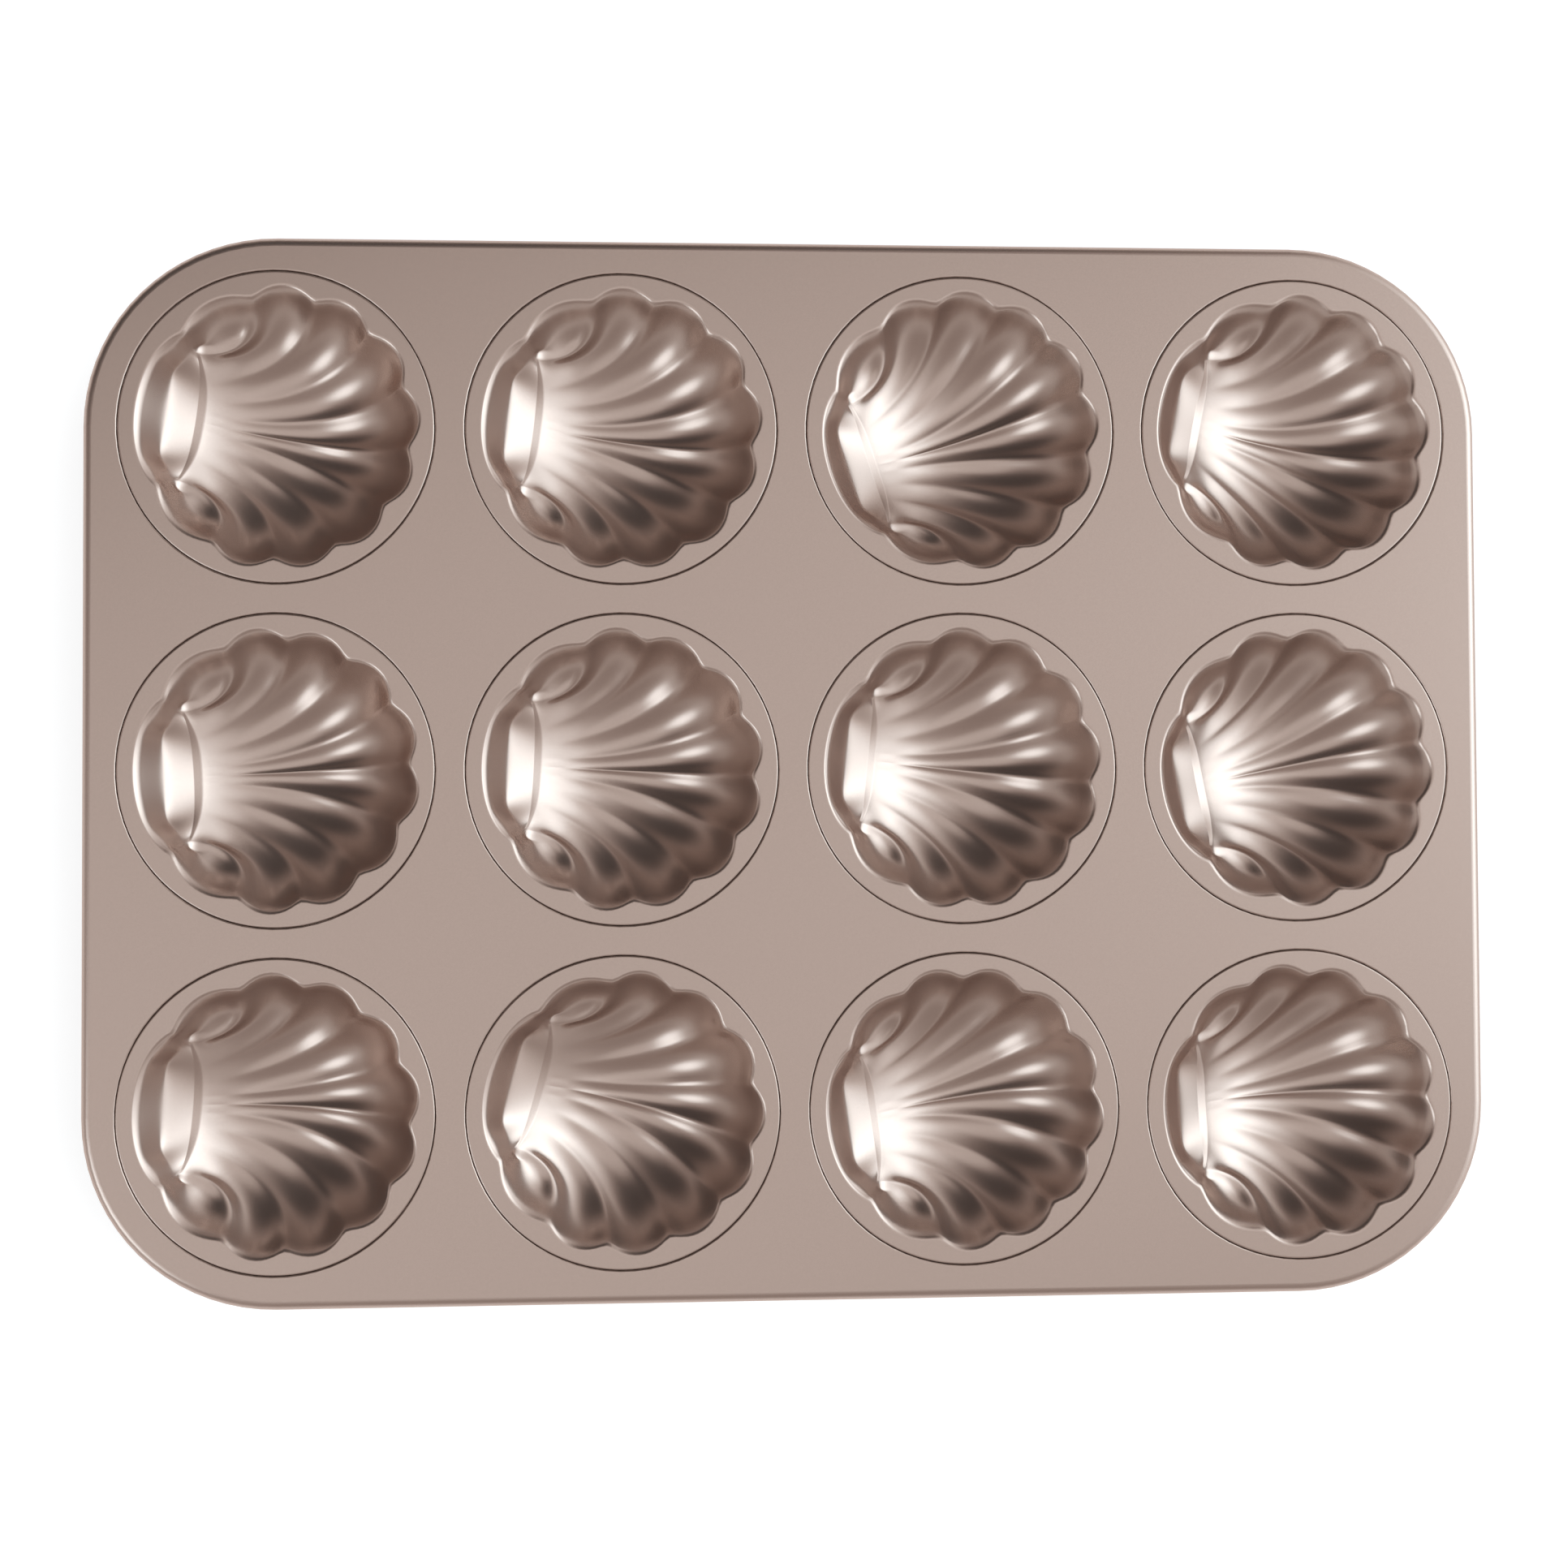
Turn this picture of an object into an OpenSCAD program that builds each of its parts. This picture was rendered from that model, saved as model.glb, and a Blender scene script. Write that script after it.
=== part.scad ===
/* [Pan layout] */
// Number of cups along the long side
cols = 4; // [2:1:6]
// Number of cups along the short side
rows = 3; // [2:1:4]
// Strip of plate between the seams of neighbouring cups
land = 7.5; // [7:0.5:30]
// Distance from the outermost seams to the outer edge
border = 8.75; // [7.5:0.25:20]
// Thickness of the sheet steel of plate and cups
sheet = 0.8; // [0.6:0.1:1]

/* [Shell cups] */
// Depth of a cup below the top of the plate
cup_depth = 18.2; // [12:0.2:24]
// Radius of the lip where two flutes meet in a cusp
cusp_r = 32.1; // [28:0.1:36]
// Width of a cup's level flange, from the cusps to the outside of the skirt
flange = 6.65; // [5.9:0.05:12]
// How far the round end of a flute stands out past the cusps
lobe_out = 2.4; // [1:0.1:3]
// How far the round end of an ear stands out past the cusps
ear_out = 2; // [1:0.1:3]
// How far the lip at the hinge stands out past the cusps
hinge_out = 2.2; // [1:0.1:3]
// Number of flutes in the fan
flutes = 8; // [6:2:10]
// Angle that one flute takes at the lip
flute_angle = 27.4; // [20:0.1:28]
// Angle that one ear takes at the lip
ear_angle = 34.8; // [25:0.1:36]
// Depth of the grooves between the crests
groove = 1.8; // [0.5:0.1:2.4]
// Half length of the hinge line
hinge_half = 16.3; // [13:0.1:17]
// Distance of the hinge line from the middle of the cup
hinge_x = 22.8; // [20:0.1:24]
// Width of the sloping band between the hinge line and the steep wall at the hinge
band = 6.4; // [5:0.1:7.5]
// Width of the ledge between the hinge line and the flutes
ledge = 1.5; // [1:0.1:4]

/* [Crimped seam] */
// Height of the skirt below the top of the plate
skirt_h = 4.2; // [3.5:0.1:6]
// Radius of the pressed outer edge where a cup's flange turns down
flange_edge = 0.4; // [0.1:0.05:0.6]
// Radius of the pressed outer edge where the plate turns down to a cup
plate_edge = 0.4; // [0.1:0.05:0.6]
// Side clearance between a cup's skirt and the channel that holds it
crimp_gap = 0.15; // [0.1:0.05:0.3]
// Height of the channel's inner lip above its floor
hook_lip = 1; // [0.6:0.1:2]

/* [Rim] */
// Outer radius of the rolled rim
rim_r = 2.6; // [2.2:0.1:4]
// Clearance between the wire and the roll round it
wire_gap = 0.1; // [0.05:0.05:0.3]

/* [Hidden] */
$fn = 96;
TOP = cup_depth + sheet;
COAT = [0.68, 0.6, 0.56];
// How far each shell is turned in its hole, degrees, one row after the other
TURNS = [-9, -7, 18, -11, 3, -3, -6, 11, -4, -15, 8, 3];
OVERLAP = 0.4;
SKIRT_R = cusp_r + flange;
COLLAR_R = SKIRT_R + crimp_gap;
LIP_R = SKIRT_R - sheet - crimp_gap;
COLLAR_OUT = COLLAR_R + sheet;
RING_R = SKIRT_R - sheet;
FLANGE_R = RING_R - OVERLAP;
CORNER = SKIRT_R + border - rim_r;
PITCH = 2 * SKIRT_R + land;
HALF_X = (cols - 1) * PITCH / 2;
HALF_Y = (rows - 1) * PITCH / 2;

// The shell's axis points along +X from its hinge, angles are measured from it
FAN = flutes * flute_angle / 2;
EAR_END = FAN + ear_angle;
// Centre of the bowl, and its roundness: 1 has an upright wall, more is flatter
DEEP_X = 3;
DOME = 1.05;
// Share of the grooves' depth by which the plain bowl is shallower than the cup: the grooves then reach
// a little deeper than the cup, where their undersides are pressed flat for the pan to rest on
BOWL = cup_depth - 0.28 * groove;
// How far the crest lines bend towards the lip, and round the corners of the hinge
PULL = 5;
CORNER_PULL = [8.5, 5.5];
CORNER_IN = 1.4;
// How much higher than the ledge's far side the hinge line lies, as a share of the bowl's depth
HINGE_DROP = 0.03;
// Share of the hinge line's depth that is left at the foot of the steep wall
AT_KNEE = 0.66;
// Oval pocket pressed into each ear: its centre, half its length and width, its turn and its depth
POCKET = cusp_r * [-0.5, 0.7];
POCKET_SIZE = cusp_r * [0.27, 0.14];
POCKET_TURN = 35;
POCKET_DEPTH = 0.055 * cup_depth;
// Height of the ridge between an ear and its flute, and its reach into each as a share of their angles
RIDGE = 0.044 * cup_depth;
RIDGE_EAR = 0.45;
RIDGE_FLUTE = 0.25;
// Share of a line over which grooves and lobes grow from the hinge line
GROW = 0.24;
LIP_ROUND = 0.8;
FLUTE_STEPS = 4;
EAR_STEPS = 4;
// Rows of points from the hinge line, 0, to the lip, 1, one of them on the knee of the hinge wall
KNEE = 0.32;
STEPS = [0, 0.16, KNEE, 0.5, 0.68, 0.86, 1];

function bump(u) = 4 * u * (1 - u);
function part_of(a, width) = a / width - floor(a / width);
function at_hinge(a) = abs(a) > EAR_END;
// Shares of the way: across the fan, across an ear, and from an ear to the middle of the hinge
function fan_part(a) = min(1, abs(a) / FAN);
function ear_part(a) = max(0, min(1, (abs(a) - FAN) / ear_angle));
function back_part(a) = max(0, (abs(a) - EAR_END) / (180 - EAR_END));
// 0 at both sides of a flute or an ear and 1 in its middle
function flute(a) = abs(a) < FAN ? bump(part_of(abs(a), flute_angle)) : 0;
function ear(a) = abs(a) < FAN || at_hinge(a) ? 0 : bump(ear_part(a));
// 1 on the ridge between an ear and its flute, falling off to both sides
function ridge(a) = at_hinge(a) ? 0
    : exp(-pow(abs(a) < FAN ? (FAN - abs(a)) / flute_angle / RIDGE_FLUTE : ear_part(a) / RIDGE_EAR, 2));
// How far the lip stands out past the cusps at an angle from the axis
function lobe(a) = at_hinge(a) ? hinge_out * (1 - pow(1 - back_part(a), 4))
    : lobe_out * flute(a) + ear_out * ear(a);
function lip(a, out) = (cusp_r + out) * [cos(a), sin(a)];
// How much the line to angle a keeps to the corner of the hinge
function corner(a) = pow(fan_part(a), 6);
// Place along the hinge line, 0 to 1, from which that line starts
function spread(a) = let (q = fan_part(a)) at_hinge(a) ? 1 - back_part(a)
    : 0.39 * q + 0.47 * q * q + 0.12 * corner(a) + 0.02 * ear_part(a);
function start(a) = [at_hinge(a) ? -hinge_x - CORNER_IN * pow(spread(a), 6)
    : -hinge_x + ledge * (1 - corner(a)) - CORNER_IN * (corner(a) + ear_part(a)) / 2,
    sign(a) * hinge_half * spread(a)];
function pull(a) = let (b = sign(a) * min(abs(a), FAN), e = ear_part(a), c = corner(a))
    (1 - e) * [PULL * cos(b) - CORNER_PULL[0] * c,
        cusp_r * sin(b) * abs(b) / 140 - sign(a) * CORNER_PULL[1] * c] + e * (start(a) + lip(a, 0)) / 2;
// Knee of the hinge wall, as a share of the way from the hinge line to the lip: the band's far edge
// is straight, and its corners are round
function knee(a) = let (b = back_part(a), s = start(a)[0],
    straight = (hinge_x + band + s) / max(1, s - lip(a, lobe(a))[0]))
    pow(pow(straight, -6) + pow(0.35 + 0.3 * b + 1.2 * b * b, -6), -1 / 6);
function along(a, u) = u < KNEE ? knee(a) * u / KNEE : knee(a) + (1 - knee(a)) * (u - KNEE) / (1 - KNEE);
// Plan of a line: u runs from the hinge line, 0, to the lip, 1
function plan(a, u) = at_hinge(a) ? let (v = along(a, u)) start(a) * (1 - v) + lip(a, lobe(a)) * v
    : pow(1 - u, 2) * start(a) + 2 * u * (1 - u) * pull(a) + u * u * lip(a, 0);
// Distance from the deepest point to the edge of the plain bowl, towards d
function reach(d) = let (c = DEEP_X * d[0]) sqrt(c * c + cusp_r * cusp_r - DEEP_X * DEEP_X) - c;
function share(p) = let (q = p - [DEEP_X, 0], n = norm(q))
    n < 0.01 ? 0 : min(1, n / reach(q / n));
function dome(s) = (sqrt(DOME * DOME - s * s) - sqrt(DOME * DOME - 1)) / (DOME - sqrt(DOME * DOME - 1));
// Depth of the hinge wall: a sloping band up to the knee, then the steep wall up to the lip
function hinge_depth(a, u) = let (middle = 1 - pow(1 - back_part(a), 2),
    plain = dome(share(start(a) + [ledge * (1 - pow(spread(a), 6)), 0])),
    at_knee = 0.65 + (AT_KNEE - 0.65) * middle)
    BOWL * (plain - HINGE_DROP * middle)
    * (u < KNEE ? 1 - (1 - at_knee) * u / KNEE : at_knee * (1 - u) / (1 - KNEE));
function bowl(a, u) = at_hinge(a) ? hinge_depth(a, u) : BOWL * dome(share(plan(a, u)));
function pocket(p) = let (d = [p[0], abs(p[1])] - POCKET, c = cos(POCKET_TURN), s = sin(POCKET_TURN),
    across = (d[0] * c + d[1] * s) / POCKET_SIZE[0], out = (d[1] * c - d[0] * s) / POCKET_SIZE[1])
    POCKET_DEPTH * pow(max(0, 1 - across * across - out * out), 2);
// 0 at the hinge line and 1 beyond the part of a line where grooves and lobes grow
function grown(u) = let (f = min(1, u / GROW)) f * f * (3 - 2 * f);
// How much a groove deepens the bowl at a plan point of its line
function grooved(a, u, p) = pow(u, 1.2) * grown(u) * flute(a) * groove * (1 - pow(share(p), 3))
    + min(1, 2 * ear(a)) * pocket(p) - RIDGE * ridge(a) * pow(sin(180 * u), 1.5);
// A point of the inner surface, its groove pushed down in the middle and outwards at the lip
function skin(a, u) = let (p = plan(a, u), out = at_hinge(a) ? 0 : lobe(a) * grown(u) * pow(share(p), 3))
    [p[0] + out * cos(a), p[1] + out * sin(a), -max(LIP_ROUND, bowl(a, u) + grooved(a, u, p))];
// Outward direction of the plain bowl under a plan point
function slope(p) = let (s = share(p), q = p - [DEEP_X, 0], n = max(norm(q), 0.01),
    t = BOWL / reach(q / n) * s / sqrt(DOME * DOME - s * s) / (DOME - sqrt(DOME * DOME - 1)))
    [q[0] / n * t, q[1] / n * t, -1] / norm([t, 1]);
function back(a, u) = let (p = skin(a, u)) p + sheet * slope([p[0], p[1]]);
function level(p, z) = [p[0], p[1], z];
function edge(a, out, z) = level(lip(a, lobe(a) + out), z);
function ring(a, z) = level((RING_R - 0.05) * [cos(a), sin(a)], z);

// One line per angle: fan, first ear, hinge, second ear; a hinge line faces every second line of the fan
FAN_LINES = flutes * FLUTE_STEPS;
function fan_angle(i) = (i / FAN_LINES - 0.5) * 2 * FAN;
function facing(i) = let (a = fan_angle(i), t = 180 - (180 - EAR_END) * spread(a)) a < 0 ? -t : t;
ANGLES = concat(
    [for (i = [0 : FAN_LINES]) fan_angle(i)],
    [for (i = [1 : EAR_STEPS]) FAN + ear_angle * i / EAR_STEPS],
    [for (i = [FAN_LINES - 2 : -2 : 2]) facing(i)],
    [for (i = [0 : EAR_STEPS - 1]) -EAR_END + ear_angle * i / EAR_STEPS]);
LINES = len(ANGLES);
// Hinge line that the ledge joins to step i of the fan and the first ear
function partner(i) = FAN_LINES + EAR_STEPS + FAN_LINES / 2 - max(1, min(FAN_LINES / 2 - 1, ceil(i / 2)));
LEDGE = concat(
    [for (i = [0 : FAN_LINES + EAR_STEPS - 1]) [i + 1, i, partner(i)]],
    [for (i = [LINES - EAR_STEPS : LINES - 1]) [(i + 1) % LINES, i, partner(0)]],
    [for (j = [1 : FAN_LINES / 2 - 2]) [2 * j + 1, partner(2 * j), partner(2 * j + 2)]]);

// Shell and the inner part of its flange as one closed sheet
module shell() {
    loops = concat(
        [for (u = STEPS) [for (a = ANGLES) skin(a, u)]],
        [[for (a = ANGLES) edge(a, LIP_ROUND, 0)], [for (a = ANGLES) ring(a, 0)],
         [for (a = ANGLES) ring(a, -sheet)], [for (a = ANGLES) edge(a, 2 * LIP_ROUND, -sheet)]],
        [for (i = [len(STEPS) - 1 : -1 : 0]) [for (a = ANGLES) back(a, STEPS[i])]]);
    last = LINES * (len(loops) - 1);
    walls = [for (r = [0 : LINES : last - 1]) for (i = [0 : LINES - 1]) let (k = (i + 1) % LINES)
        each [[r + i, r + k, r + LINES + k], [r + i, r + LINES + k, r + LINES + i]]];
    underside = [for (f = LEDGE) [last + f[0], last + f[2], last + f[1]]];
    polyhedron([for (l = loops) each l], concat(walls, LEDGE, underside), convexity = 8);
}

// What rounding an edge to radius r takes away, to the upper right of the round's centre
module off_edge(r) {
    difference() {
        square(2 * r);
        circle(r);
    }
}

module skirt() {
    rotate_extrude() difference() {
        translate([FLANGE_R, -skirt_h]) square([SKIRT_R - FLANGE_R, skirt_h]);
        translate([FLANGE_R - sheet, -skirt_h - sheet]) square([SKIRT_R - FLANGE_R, skirt_h]);
        translate([SKIRT_R - flange_edge, -flange_edge]) off_edge(flange_edge);
    }
}

module cup(i, j) {
    color(COAT)
    translate([(i - 1) * PITCH - HALF_X, HALF_Y - (j - 1) * PITCH, TOP])
    rotate(TURNS[((j - 1) * cols + i - 1) % len(TURNS)]) {
        difference() {
            shell();
            translate([0, 0, -TOP - sheet]) cylinder(r = cusp_r, h = sheet);
        }
        skirt();
    }
}

// Channel that holds one cup's skirt, hung from the plate's rolled edge
module channel() {
    floor_z = -skirt_h - sheet;
    rotate_extrude() {
        difference() {
            translate([COLLAR_R, floor_z]) square([sheet + 2 * OVERLAP, -floor_z]);
            translate([COLLAR_OUT, floor_z - sheet]) square([3 * OVERLAP, -floor_z]);
            translate([COLLAR_R + plate_edge, -plate_edge]) mirror([1, 0]) off_edge(plate_edge);
        }
        translate([LIP_R - sheet, floor_z]) square([COLLAR_R - LIP_R + 2 * sheet, sheet]);
        translate([LIP_R - sheet, floor_z]) square([sheet, sheet + hook_lip]);
    }
}

module each_cup() {
    for (i = [0 : cols - 1]) for (j = [0 : rows - 1])
        translate([i * PITCH - HALF_X, j * PITCH - HALF_Y]) children();
}

// Sweeps a profile, drawn from the corner's centre outwards, round the whole edge
module round_edge() {
    for (x = [-1, 1]) for (y = [-1, 1])
        translate([x * HALF_X, y * HALF_Y])
        rotate(x > 0 ? (y > 0 ? 0 : 270) : (y > 0 ? 90 : 180))
        rotate_extrude(angle = 90) children();
    for (side = [0, 180]) {
        rotate(side) translate([HALF_X, HALF_Y]) rotate([90, 0, 0]) linear_extrude(2 * HALF_Y) children();
        rotate(side + 90) translate([HALF_Y, HALF_X]) rotate([90, 0, 0]) linear_extrude(2 * HALF_X) children();
    }
}

module rim_profile() {
    difference() {
        circle(rim_r);
        circle(rim_r - sheet);
        translate([-rim_r, 0]) square(rim_r);
    }
    translate([-OVERLAP, rim_r - sheet]) square([OVERLAP, sheet]);
}

module flat_sheet() {
    translate([0, 0, -sheet]) linear_extrude(sheet) difference() {
        union() {
            square([2 * HALF_X, 2 * HALF_Y + 2 * CORNER], center = true);
            square([2 * HALF_X + 2 * CORNER, 2 * HALF_Y], center = true);
            for (x = [-HALF_X, HALF_X]) for (y = [-HALF_Y, HALF_Y]) translate([x, y]) circle(CORNER);
        }
        each_cup() circle(COLLAR_OUT + OVERLAP);
    }
}

module tray_plate() {
    color(COAT)
    translate([0, 0, TOP]) {
        flat_sheet();
        each_cup() channel();
        round_edge() translate([CORNER, -rim_r]) rim_profile();
    }
}

module rim_wire() {
    color("silver")
    translate([0, 0, TOP]) round_edge() translate([CORNER, -rim_r]) circle(rim_r - sheet - wire_gap);
}

tray_plate();
rim_wire();
for (j = [1 : rows]) for (i = [1 : cols])
    cup(i, j);
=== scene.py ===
import math

import bpy
import numpy as np
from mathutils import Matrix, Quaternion, Vector


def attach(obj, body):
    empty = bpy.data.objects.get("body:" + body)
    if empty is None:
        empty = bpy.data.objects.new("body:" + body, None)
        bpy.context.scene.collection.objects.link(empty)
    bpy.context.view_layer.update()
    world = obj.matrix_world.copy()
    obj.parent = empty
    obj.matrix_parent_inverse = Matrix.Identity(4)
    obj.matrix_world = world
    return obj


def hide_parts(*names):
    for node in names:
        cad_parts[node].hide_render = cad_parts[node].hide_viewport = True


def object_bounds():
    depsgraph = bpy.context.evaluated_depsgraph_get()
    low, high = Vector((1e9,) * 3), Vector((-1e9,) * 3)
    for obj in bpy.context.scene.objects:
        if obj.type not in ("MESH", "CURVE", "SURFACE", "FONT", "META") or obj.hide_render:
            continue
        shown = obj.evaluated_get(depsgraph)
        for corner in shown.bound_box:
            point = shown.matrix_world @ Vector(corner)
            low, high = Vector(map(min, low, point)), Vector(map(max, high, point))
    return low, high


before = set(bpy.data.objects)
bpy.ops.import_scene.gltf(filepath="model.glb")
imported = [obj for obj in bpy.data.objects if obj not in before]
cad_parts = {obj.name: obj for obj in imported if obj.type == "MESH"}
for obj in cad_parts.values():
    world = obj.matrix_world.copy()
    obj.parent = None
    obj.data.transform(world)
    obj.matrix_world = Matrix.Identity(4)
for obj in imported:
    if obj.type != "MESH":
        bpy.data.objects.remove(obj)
cad_box = [list(corner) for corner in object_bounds()]
scene = bpy.context.scene

MM = 0.001
TOP = cad_box[1][2]

# The camera that fits the photograph: its place over the plate's top, its turn and its lens
CAMERA_PLACE_MM = (-25.6, -13.3, 444.6)
CAMERA_TURN_DEG = (-1.227, 2.845, 0.255)
FOCAL_PX = 2200
FRAME_HEIGHT_PX = 1932
SENSOR_MM = 36

# Cups on the plate, millimetres between their centres, and how far each shell is turned, degrees
ROWS, COLS = 3, 4
PITCH = 85
TURNS = (-9, -7, 18, -11, 3, -3, -6, 11, -4, -15, 8, 3)

# Shell cup, millimetres and degrees, its axis along +X from the hinge
SHEET = 0.8
CUP_DEPTH = 18.2
CUSP_R = 32.1
LOBE_OUT = 2.4
EAR_OUT = 2.0
HINGE_OUT = 2.2
FLUTES = 8
FLUTE_ANGLE = 27.4
EAR_ANGLE = 34.8
GROOVE = 1.8
FAN = FLUTES * FLUTE_ANGLE / 2
EAR_END = FAN + EAR_ANGLE

# Plain bowl: its deepest point, its roundness and its depth
DEEP_X = 3.0
DOME = 1.05
BOWL = 17.7

# Hinge line, the ledge beside it, and how far its corners lie behind it
HINGE_HALF = 16.3
HINGE_X = 22.8
LEDGE = 1.5
CORNER_IN = 1.4
# Power of a share that keeps an effect near the corners of the hinge
CORNER_POWER = 6
# How much higher than the ledge's far side the hinge line lies, as a share of the bowl's depth
HINGE_DROP = 0.012
# Where a line starts on the hinge line: parts that grow with the fan's share, its square, its corner
# power, and the ear's share
START_PARTS = (0.39, 0.47, 0.12, 0.02)
SHARE_STEPS = 201

# How far crest lines bend towards the lip and round the hinge's corners, and the angle of a full bend
PULL = 5.0
CORNER_PULL = (8.5, 5.5)
FULL_BEND = 140

# Knee of the hinge wall: its row, its place, the shares of depth left there in the middle and at the
# corners, its rounding, and its place on the lines near the corners with its growth from there
KNEE = 0.32
KNEE_X = 29.2
AT_KNEE = 0.66
AT_CORNER_KNEE = 0.65
KNEE_ROUND = 0.035
KNEE_PLACE = (0.35, 0.3, 1.2)
KNEE_BLEND = 6

# Oval pocket in each ear: its place, half its length and width, its turn and its depth
POCKET = (-0.5 * CUSP_R, 0.7 * CUSP_R)
POCKET_SIZE = (0.27 * CUSP_R, 0.14 * CUSP_R)
POCKET_TURN = 35
POCKET_DEPTH = 0.045 * CUP_DEPTH
POCKET_EDGE = 2
# Dimple where an ear meets the hinge: its place, its size, its depth, and how fast it ends at the lip
DIMPLE = (-23.8, 17.0)
DIMPLE_SIZE = 2.2
DIMPLE_DEPTH = 1.1
DIMPLE_END = 4
# Ridge between an ear and its flute: its height, and its reach into each as a share of their angles
RIDGE = 0.044 * CUP_DEPTH
RIDGE_EAR = 0.45
RIDGE_FLUTE = 0.25
RIDGE_POWER = 1.5

# Share of a line over which grooves and lobes grow from the hinge line, and powers of their growth
GROW = 0.24
GROOVE_POWER = 1.2
SIDE_POWER = 3
CREST_ROUND = 0.08

# Soft lip where a wall meets the flange, in the fan and at the hinge, and the slope of the wall there
LIP_SOFT = 2.6
HINGE_LIP_SOFT = 1.5
WALL_SLOPE = 2.2

# Skirt below the flange
SKIRT_R = 38.75
SKIRT_H = 4.2
FLANGE_EDGE = 0.4

# Mesh density of a cup: lines across one flute, one ear, and rows of points along a line
FLUTE_STEPS = 12
EAR_STEPS = 14
FAN_LINES = FLUTES * FLUTE_STEPS
INNER_ROWS = np.concatenate([
    [0, 0.012, 0.026], np.linspace(0.04, 0.29, 9), [0.305, KNEE, 0.335], np.linspace(0.36, 0.8, 14),
    np.linspace(0.82, 1, 12)])
OUTER_ROWS = np.linspace(1, 0, 17)
LIP_ROWS = np.linspace(0, 1, 8)[1:]
BEND_STEPS = 5
# Level rows this close to a bend keep the flange's shading flat
GUARD = 0.2
SHARP_DEG = 50
TINY = 1e-6

# Champagne coat: the two tones of its grain, how fine the grain is, and its tint at a grazing view
COAT_TONES = ((0.4, 0.302, 0.26, 1), (0.44, 0.333, 0.286, 1))
GRAIN_SCALE = 2600
COAT_TINT = (1, 0.9, 0.85, 1)

# Floor, and its lift to white for the camera and for what mirrors it, while it lights nothing else
FLOOR_SIZE = 8
FLOOR_TONE = (0.6, 0.6, 0.6, 1)
FLOOR_LIFT = 0.6

# Studio light: a base level, a brighter horizon as (where it starts, where it is full, level), wide glows
# as (azimuth, height, tightness, level), and soft boxes as (azimuth, height, angle of the full light,
# angle where it ends, level), angles in degrees
WORLD_BASE = 0.45
HORIZON = (25, 5, 0.45)
GLOWS = ((6, 14, 4, 0.8), (11, 33, 12, 3.5), (212, 38, 10, 0.4))
SOFT_BOXES = ((200, 85, 14, 36, 0.56), (116, 22, 30, 58, -0.42), (212, 41, 6, 18, 2.6))
DIMMEST = 0.04
# Tint of the light from its dimmest to its brightest parts, with the place of the neutral one, and the
# share of the level that picks the tint
DIM_TINT = (1, 0.74, 0.64, 1)
BRIGHT_TINT = (0.83, 1, 1.09, 1)
NEUTRAL_AT = 0.33
TINT_SHARE = 0.4


def add_camera():
    data = bpy.data.cameras.new("photo_camera")
    data.sensor_width = SENSOR_MM
    data.lens = FOCAL_PX * SENSOR_MM / FRAME_HEIGHT_PX
    camera = bpy.data.objects.new("photo_camera", data)
    scene.collection.objects.link(camera)
    turn = Vector(CAMERA_TURN_DEG)
    camera.rotation_mode = "QUATERNION"
    camera.rotation_quaternion = Quaternion(turn.normalized(), -math.radians(turn.length))
    camera.location = Vector(CAMERA_PLACE_MM) * MM + Vector((0, 0, TOP))
    scene.camera = camera


def rounded_bump(u):
    """0 at both ends and 1 halfway, with softly rounded crests at the ends."""
    near = np.sqrt(np.minimum(u, 1 - u) ** 2 + CREST_ROUND ** 2)
    low = 4 * CREST_ROUND * (1 - CREST_ROUND)
    return (4 * near * (1 - near) - low) / (1 - low)


def share_of_bowl(x, y):
    """How far a plan point lies from the deepest point, as a share of the way to the edge."""
    qx = x - DEEP_X
    far = np.maximum(np.hypot(qx, y), TINY)
    c = DEEP_X * qx / far
    reach = np.sqrt(c * c + CUSP_R ** 2 - DEEP_X ** 2) - c
    return np.clip(far / reach, 0, 1), qx / far, y / far, reach


def dome(s):
    edge = math.sqrt(DOME ** 2 - 1)
    return (np.sqrt(DOME ** 2 - s * s) - edge) / (DOME - edge)


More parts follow.
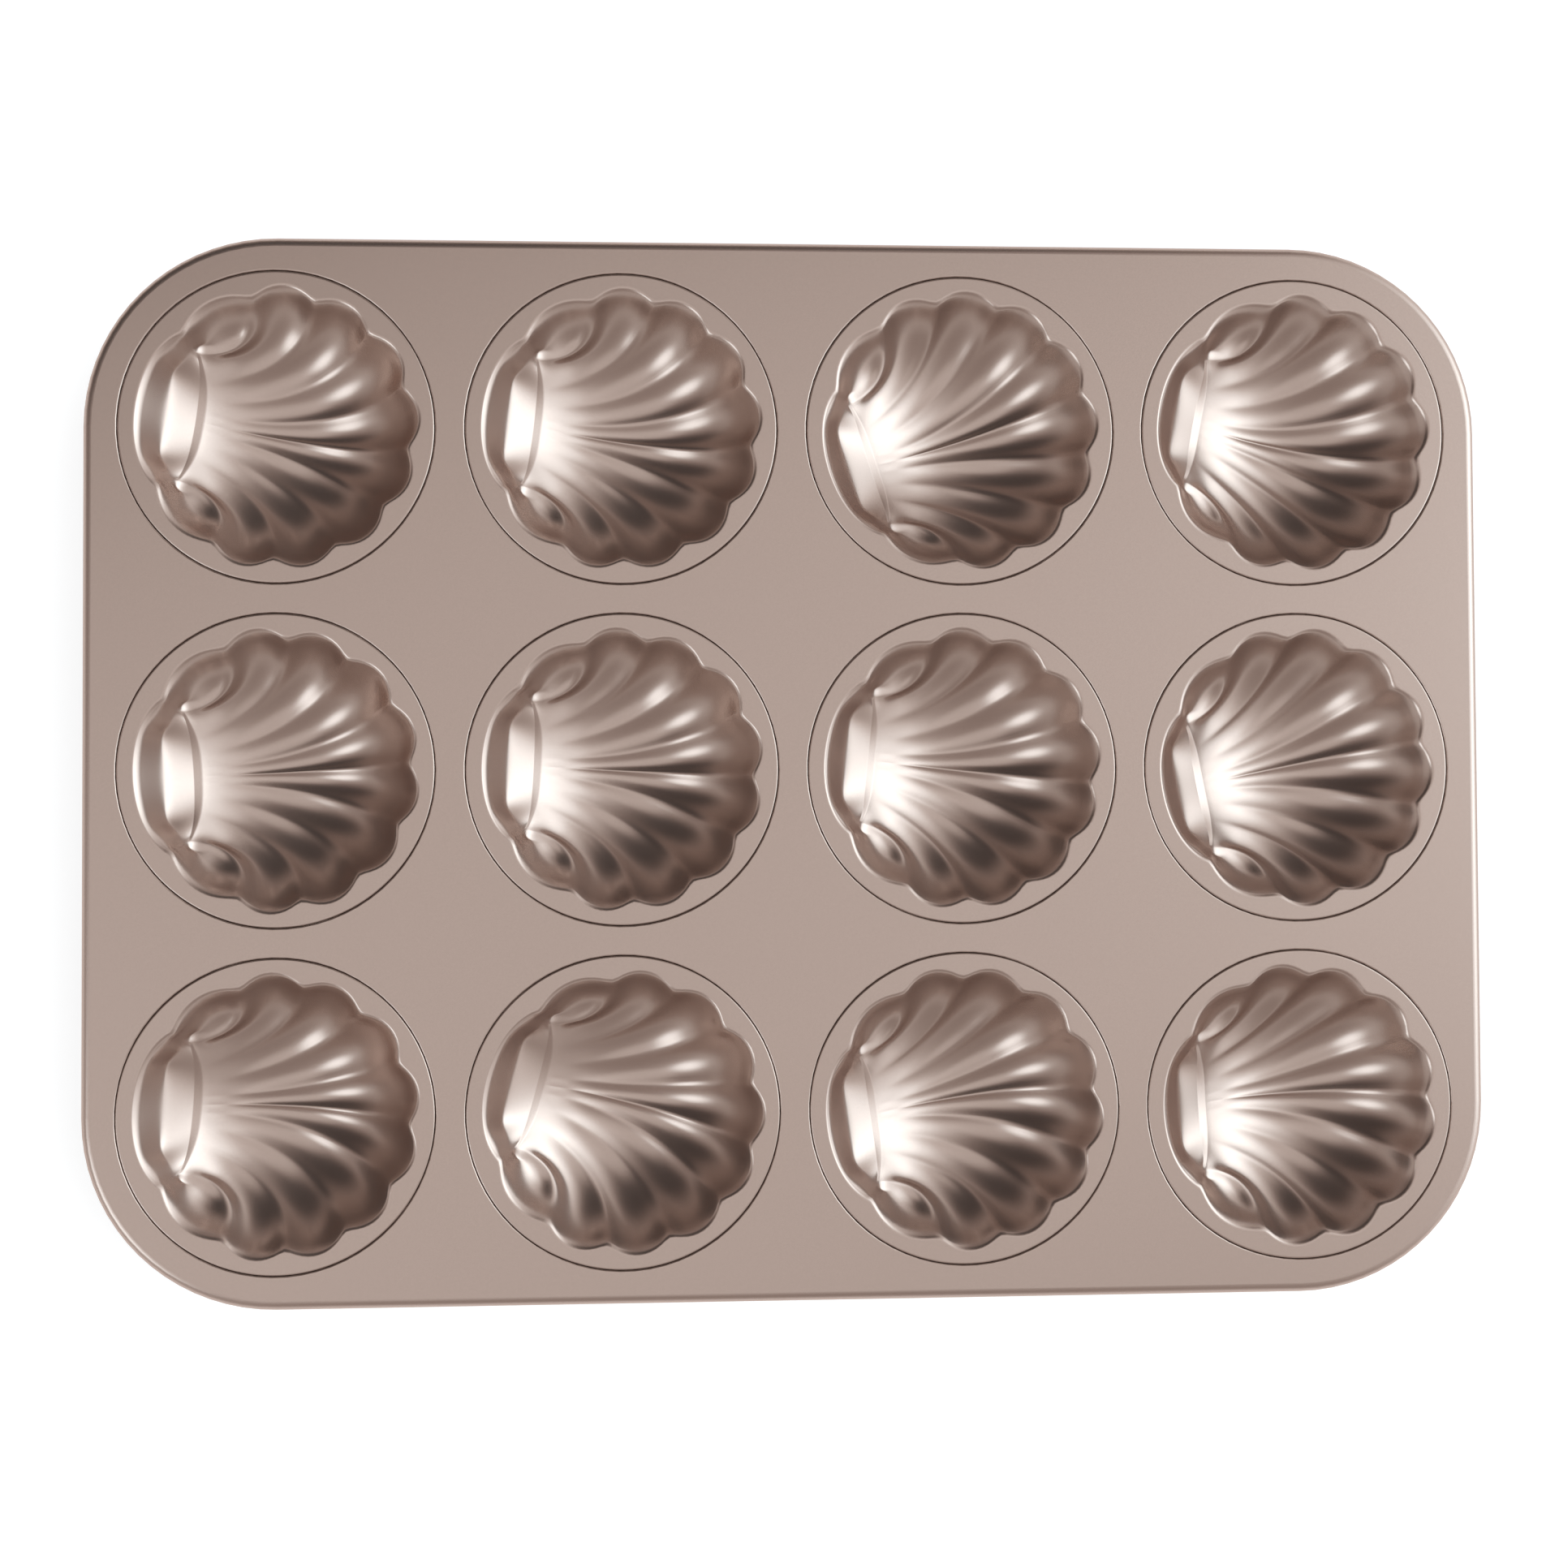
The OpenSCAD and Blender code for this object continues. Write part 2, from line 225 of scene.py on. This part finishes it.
class Lines:
    """The lines that run from the hinge line to the lip, one per angle from the shell's axis."""

    def __init__(self, angles):
        size, side = np.abs(angles), np.sign(angles)
        self.cos, self.sin = np.cos(np.radians(angles)), np.sin(np.radians(angles))
        self.hinge = size > EAR_END + TINY
        in_fan = size < FAN - TINY
        fan = np.minimum(1, size / FAN)
        ear = np.clip((size - FAN) / EAR_ANGLE, 0, 1)
        back = np.clip((size - EAR_END) / (180 - EAR_END), 0, 1)
        flute = size / FLUTE_ANGLE - np.floor(size / FLUTE_ANGLE)
        self.flute = np.where(in_fan, rounded_bump(flute), 0)
        self.ear = np.where(in_fan | self.hinge, 0, rounded_bump(ear))
        from_ridge = np.where(in_fan, (FAN - size) / FLUTE_ANGLE / RIDGE_FLUTE, ear / RIDGE_EAR)
        self.ridge = np.where(self.hinge, 0, np.exp(-from_ridge ** 2))
        self.lobe = LOBE_OUT * self.flute + EAR_OUT * self.ear
        self.lobe = np.where(self.hinge, HINGE_OUT * (1 - (1 - back) ** 4), self.lobe)
        corner = fan ** CORNER_POWER
        spread = hinge_spread(fan, ear)
        spread = np.where(self.hinge, 1 - back, spread)
        at_ledge = -HINGE_X + LEDGE * (1 - corner) - CORNER_IN * (corner + ear) / 2
        self.start_x = np.where(self.hinge, -HINGE_X - CORNER_IN * spread ** CORNER_POWER, at_ledge)
        self.start_y = side * HINGE_HALF * spread
        bent = side * np.minimum(size, FAN)
        pull_x = PULL * np.cos(np.radians(bent)) - CORNER_PULL[0] * corner
        pull_y = CUSP_R * np.sin(np.radians(bent)) * np.abs(bent) / FULL_BEND
        pull_y = pull_y - side * CORNER_PULL[1] * corner
        self.pull_x = (1 - ear) * pull_x + ear * (self.start_x + CUSP_R * self.cos) / 2
        self.pull_y = (1 - ear) * pull_y + ear * (self.start_y + CUSP_R * self.sin) / 2
        lip_x = -(CUSP_R + self.lobe) * self.cos
        straight = (KNEE_X + self.start_x) / np.maximum(1, lip_x + self.start_x)
        at_corner = KNEE_PLACE[0] + KNEE_PLACE[1] * back + KNEE_PLACE[2] * back ** 2
        self.knee = (straight ** -KNEE_BLEND + at_corner ** -KNEE_BLEND) ** (-1 / KNEE_BLEND)
        middle = 1 - (1 - back) ** 2
        self.at_knee = AT_CORNER_KNEE + (AT_KNEE - AT_CORNER_KNEE) * middle
        self.knee_round = KNEE_ROUND * middle
        self.lip_soft = LIP_SOFT + (HINGE_LIP_SOFT - LIP_SOFT) * middle
        self.lip_width = self.lip_soft / WALL_SLOPE
        shares = np.linspace(0, 1, SHARE_STEPS)
        facing = np.interp(spread, hinge_spread(shares, 0), shares) ** CORNER_POWER
        across_ledge = -HINGE_X + LEDGE * (1 - facing) - CORNER_IN * facing / 2
        plain = dome(share_of_bowl(across_ledge, self.start_y)[0])
        self.start_depth = BOWL * (plain - HINGE_DROP * middle)


def hinge_spread(fan, ear):
    """Place along the hinge line, 0 to 1, from which the line of a fan or ear share starts."""
    linear, square, corner, from_ear = START_PARTS
    return linear * fan + square * fan ** 2 + corner * fan ** CORNER_POWER + from_ear * ear


def line_angles():
    """Angles all round: fan, first ear, hinge lines that face the fan's lines, second ear."""
    fan = np.linspace(-FAN, FAN, FAN_LINES + 1)
    ear = np.linspace(FAN, EAR_END, EAR_STEPS + 1)[1:]
    inner = fan[-2:0:-1]
    facing = 180 - (180 - EAR_END) * hinge_spread(np.abs(inner) / FAN, 0)
    return np.concatenate([fan, ear, np.where(inner < 0, -facing, facing), -ear[::-1]])


def grown(u):
    """0 at the hinge line and 1 beyond the part of a line where grooves and lobes grow."""
    f = min(1, u / GROW)
    return f * f * (3 - 2 * f)


def rounded_lip(w, soft):
    """Depth below the plate's top where a wall of signed depth w meets the level flange."""
    return np.where(w < soft, np.maximum(w + soft, 0) ** 2 / (4 * soft), w)


def ear_pocket(x, y):
    """Depth of the oval pocket pressed into each ear."""
    a = math.radians(POCKET_TURN)
    dx, dy = x - POCKET[0], np.abs(y) - POCKET[1]
    long = (dx * math.cos(a) + dy * math.sin(a)) / POCKET_SIZE[0]
    short = (dy * math.cos(a) - dx * math.sin(a)) / POCKET_SIZE[1]
    return POCKET_DEPTH * np.maximum(0, 1 - long ** 2 - short ** 2) ** 2


def skin(line, u):
    """Points of the inner surface on all lines: u is 0 at the hinge line and 1 at the lip."""
    lip_x, lip_y = CUSP_R * line.cos, CUSP_R * line.sin
    v = line.knee * u / KNEE if u < KNEE else line.knee + (1 - line.knee) * (u - KNEE) / (1 - KNEE)
    edge = 1 + line.lobe / CUSP_R
    fan_x = (1 - u) ** 2 * line.start_x + 2 * u * (1 - u) * line.pull_x + u * u * lip_x
    fan_y = (1 - u) ** 2 * line.start_y + 2 * u * (1 - u) * line.pull_y + u * u * lip_y
    x = np.where(line.hinge, line.start_x * (1 - v) + lip_x * edge * v, fan_x)
    y = np.where(line.hinge, line.start_y * (1 - v) + lip_y * edge * v, fan_y)
    s = share_of_bowl(x, y)[0]
    side = s ** SIDE_POWER
    band, wall = 1 - (1 - line.at_knee) * v / line.knee, line.at_knee * (1 - v) / (1 - line.knee)
    drop = (band + wall) / 2 - np.hypot((band - wall) / 2, line.knee_round)
    depth = np.where(line.hinge, line.start_depth * drop, BOWL * dome(s))
    depth = depth + u ** GROOVE_POWER * grown(u) * line.flute * GROOVE * (1 - side)
    depth = depth + np.minimum(1, POCKET_EDGE * line.ear) * ear_pocket(x, y)
    depth = depth - RIDGE * line.ridge * math.sin(math.pi * u) ** RIDGE_POWER
    from_dimple = ((x - DIMPLE[0]) ** 2 + (np.abs(y) - DIMPLE[1]) ** 2) / DIMPLE_SIZE ** 2
    depth = depth + DIMPLE_DEPTH * np.exp(-from_dimple / 2) * min(1, DIMPLE_END * (1 - u))
    out = np.where(line.hinge, 0, line.lobe * side * grown(u))
    x = x + out * line.cos
    y = y + out * line.sin
    return np.stack([x, y, -rounded_lip(depth, line.lip_soft)], -1)


def underside(line, u):
    """The outer surface, one sheet thickness behind the inner one, pressed flat at the bottom."""
    p = skin(line, u)
    s, dx, dy, reach = share_of_bowl(p[:, 0], p[:, 1])
    steep = BOWL / reach * s / np.sqrt(DOME ** 2 - s * s) / (DOME - math.sqrt(DOME ** 2 - 1))
    turn = np.stack([dx * steep, dy * steep, -np.ones_like(steep)], -1)
    q = p + SHEET * turn / np.sqrt(steep ** 2 + 1)[:, None]
    q[:, 2] = np.maximum(q[:, 2], -CUP_DEPTH - SHEET)
    return q


def round_row(line, radius, height):
    r = radius + np.zeros_like(line.cos)
    return np.stack([r * line.cos, r * line.sin, height + np.zeros_like(line.cos)], -1)


def edge_rows(line):
    """The pressed outer edge of the flange, a quarter turn from level into the skirt."""
    middle = SKIRT_R - FLANGE_EDGE
    turns = np.linspace(math.pi / 2, 0, BEND_STEPS + 1)
    return [round_row(line, middle + FLANGE_EDGE * math.cos(t), FLANGE_EDGE * (math.sin(t) - 1))
            for t in turns]


def cup_rows(line):
    lip = CUSP_R + line.lobe
    rows = [skin(line, u) for u in INNER_ROWS]
    for out in LIP_ROWS:
        height = -rounded_lip(-line.lip_soft * out, line.lip_soft)
        rows.append(round_row(line, lip + line.lip_width * out, height))
    rows.append(round_row(line, lip + line.lip_width + GUARD, 0))
    rows.append(round_row(line, SKIRT_R - FLANGE_EDGE - GUARD, 0))
    rows += edge_rows(line)
    rows.append(round_row(line, SKIRT_R, -SKIRT_H))
    rows.append(round_row(line, SKIRT_R - SHEET, -SKIRT_H))
    rows.append(round_row(line, SKIRT_R - SHEET, -SHEET))
    rows.append(round_row(line, lip + line.lip_width + SHEET / 2, -SHEET))
    return rows + [underside(line, u) for u in OUTER_ROWS]


def ledge_faces(count):
    """Strip between the hinge line and the start of the flutes, as index triples of one row."""
    last = FAN_LINES + EAR_STEPS + FAN_LINES

    def partner(i):
        return last - max(1, min(FAN_LINES - 1, i))

    faces = []
    for i in range(FAN_LINES + EAR_STEPS):
        faces.append((i + 1, i, partner(i)))
        if 1 <= i < FAN_LINES - 1:
            faces.append((i + 1, partner(i), partner(i + 1)))
    for i in range(count - EAR_STEPS, count):
        faces.append(((i + 1) % count, i, partner(0)))
    return faces


def cup_mesh(turn):
    """One cup round its own middle, its shell turned by an angle in degrees."""
    angles = line_angles()
    count = len(angles)
    rows = cup_rows(Lines(angles))
    faces = []
    for r in range(len(rows) - 1):
        for i in range(count):
            k = (i + 1) % count
            faces.append((r * count + i, r * count + k, (r + 1) * count + k, (r + 1) * count + i))
    last = (len(rows) - 1) * count
    for a, b, c in ledge_faces(count):
        faces.append((a, b, c))
        faces.append((last + a, last + c, last + b))
    c, s = math.cos(math.radians(turn)), math.sin(math.radians(turn))
    points = np.concatenate(rows) @ np.array([[c, s, 0], [-s, c, 0], [0, 0, 1]])
    mesh = bpy.data.meshes.new("shell_cup")
    mesh.from_pydata([tuple(p) for p in points * MM], [], faces)
    mesh.validate()
    mesh.shade_smooth()
    mesh.set_sharp_from_angle(angle=math.radians(SHARP_DEG))
    return mesh


def add_cups(coat):
    for row in range(1, ROWS + 1):
        for col in range(1, COLS + 1):
            node = f"cup_r{row}_c{col}"
            mesh = cup_mesh(TURNS[(row - 1) * COLS + col - 1])
            mesh.materials.append(coat)
            cup = bpy.data.objects.new("shell_" + node, mesh)
            scene.collection.objects.link(cup)
            x, y = (col - (COLS + 1) / 2) * PITCH, ((ROWS + 1) / 2 - row) * PITCH
            cup.location = (x * MM, y * MM, TOP)
            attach(cup, "root")
            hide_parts(node)


def new_material(name):
    material = bpy.data.materials.new(name)
    material.use_nodes = True
    return material, material.node_tree.nodes, material.node_tree.links


def coat_material():
    """Satin champagne coat with a fine metallic grain."""
    material, nodes, links = new_material("champagne_coat")
    shader = nodes["Principled BSDF"]
    shader.inputs["Metallic"].default_value = 0.88
    shader.inputs["Specular Tint"].default_value = COAT_TINT
    place = nodes.new("ShaderNodeNewGeometry")
    grain = nodes.new("ShaderNodeTexNoise")
    grain.inputs["Scale"].default_value = GRAIN_SCALE
    ramp = nodes.new("ShaderNodeValToRGB")
    for element, tone in zip(ramp.color_ramp.elements, COAT_TONES):
        element.color = tone
    links.new(place.outputs["Position"], grain.inputs["Vector"])
    links.new(grain.outputs["Fac"], ramp.inputs["Fac"])
    links.new(ramp.outputs["Color"], shader.inputs["Base Color"])
    shader.inputs["Roughness"].default_value = 0.26
    return material


def steel_material():
    material, nodes, _ = new_material("wire_steel")
    shader = nodes["Principled BSDF"]
    shader.inputs["Metallic"].default_value = 1.0
    shader.inputs["Base Color"].default_value = (0.6, 0.6, 0.61, 1)
    shader.inputs["Roughness"].default_value = 0.35
    return material


def dress(node, material):
    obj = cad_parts[node]
    obj.data.materials.clear()
    obj.data.materials.append(material)


def add_floor():
    bpy.ops.mesh.primitive_plane_add(size=FLOOR_SIZE, location=(0, 0, 0))
    floor = bpy.context.object
    floor.name = "floor"
    material, nodes, links = new_material("pale_floor")
    shader = nodes["Principled BSDF"]
    shader.inputs["Base Color"].default_value = FLOOR_TONE
    shader.inputs["Roughness"].default_value = 0.9
    shader.inputs["Emission Color"].default_value = (1, 1, 1, 1)
    ray = nodes.new("ShaderNodeLightPath")
    seen = ray.outputs["Is Camera Ray"]
    for kind in ("Is Glossy Ray", "Is Transmission Ray"):
        either = nodes.new("ShaderNodeMath")
        either.operation = "MAXIMUM"
        links.new(seen, either.inputs[0])
        links.new(ray.outputs[kind], either.inputs[1])
        seen = either.outputs[0]
    lift = nodes.new("ShaderNodeMath")
    lift.operation = "MULTIPLY"
    lift.inputs[1].default_value = FLOOR_LIFT
    links.new(seen, lift.inputs[0])
    links.new(lift.outputs[0], shader.inputs["Emission Strength"])
    floor.data.materials.append(material)


def towards(azimuth, height):
    a, h = math.radians(azimuth), math.radians(height)
    return math.cos(h) * math.cos(a), math.cos(h) * math.sin(a), math.sin(h)


def add_world():
    world = bpy.data.worlds.new("studio")
    scene.world = world
    world.use_nodes = True
    nodes, links = world.node_tree.nodes, world.node_tree.links
    background = nodes["Background"]
    place = nodes.new("ShaderNodeTexCoord")

    def math_node(kind, a, b):
        node = nodes.new("ShaderNodeMath")
        node.operation = kind
        for socket, value in zip(node.inputs, (a, b)):
            if isinstance(value, (int, float)):
                socket.default_value = value
            else:
                links.new(value, socket)
        return node.outputs[0]

    def nearness(azimuth, height):
        dot = nodes.new("ShaderNodeVectorMath")
        dot.operation = "DOT_PRODUCT"
        dot.inputs[1].default_value = towards(azimuth, height)
        links.new(place.outputs["Generated"], dot.inputs[0])
        return dot.outputs["Value"]

    up = nodes.new("ShaderNodeSeparateXYZ")
    links.new(place.outputs["Generated"], up.inputs[0])
    ring = nodes.new("ShaderNodeMapRange")
    ring.inputs["From Min"].default_value = math.sin(math.radians(HORIZON[0]))
    ring.inputs["From Max"].default_value = math.sin(math.radians(HORIZON[1]))
    ring.inputs["To Max"].default_value = HORIZON[2]
    links.new(up.outputs["Z"], ring.inputs["Value"])
    level = math_node("ADD", ring.outputs["Result"], WORLD_BASE)
    for azimuth, height, tight, strength in GLOWS:
        away = math_node("SUBTRACT", nearness(azimuth, height), 1)
        lobe = math_node("POWER", math.e, math_node("MULTIPLY", away, tight))
        level = math_node("ADD", level, math_node("MULTIPLY", lobe, strength))
    for azimuth, height, full, end, strength in SOFT_BOXES:
        box = nodes.new("ShaderNodeMapRange")
        box.interpolation_type = "SMOOTHSTEP"
        box.inputs["From Min"].default_value = math.cos(math.radians(end))
        box.inputs["From Max"].default_value = math.cos(math.radians(full))
        box.inputs["To Max"].default_value = strength
        links.new(nearness(azimuth, height), box.inputs["Value"])
        level = math_node("ADD", level, box.outputs["Result"])
    level = math_node("MAXIMUM", level, DIMMEST)
    links.new(level, background.inputs["Strength"])
    tint = nodes.new("ShaderNodeValToRGB")
    tint.color_ramp.elements[0].color = DIM_TINT
    tint.color_ramp.elements[1].color = BRIGHT_TINT
    tint.color_ramp.elements.new(NEUTRAL_AT).color = (1, 1, 1, 1)
    links.new(math_node("MULTIPLY", level, TINT_SHARE), tint.inputs["Fac"])
    links.new(tint.outputs["Color"], background.inputs["Color"])


add_camera()
coat = coat_material()
dress("tray_plate", coat)
dress("rim_wire", steel_material())
add_cups(coat)
add_floor()
add_world()
scene.view_settings.view_transform = "Standard"
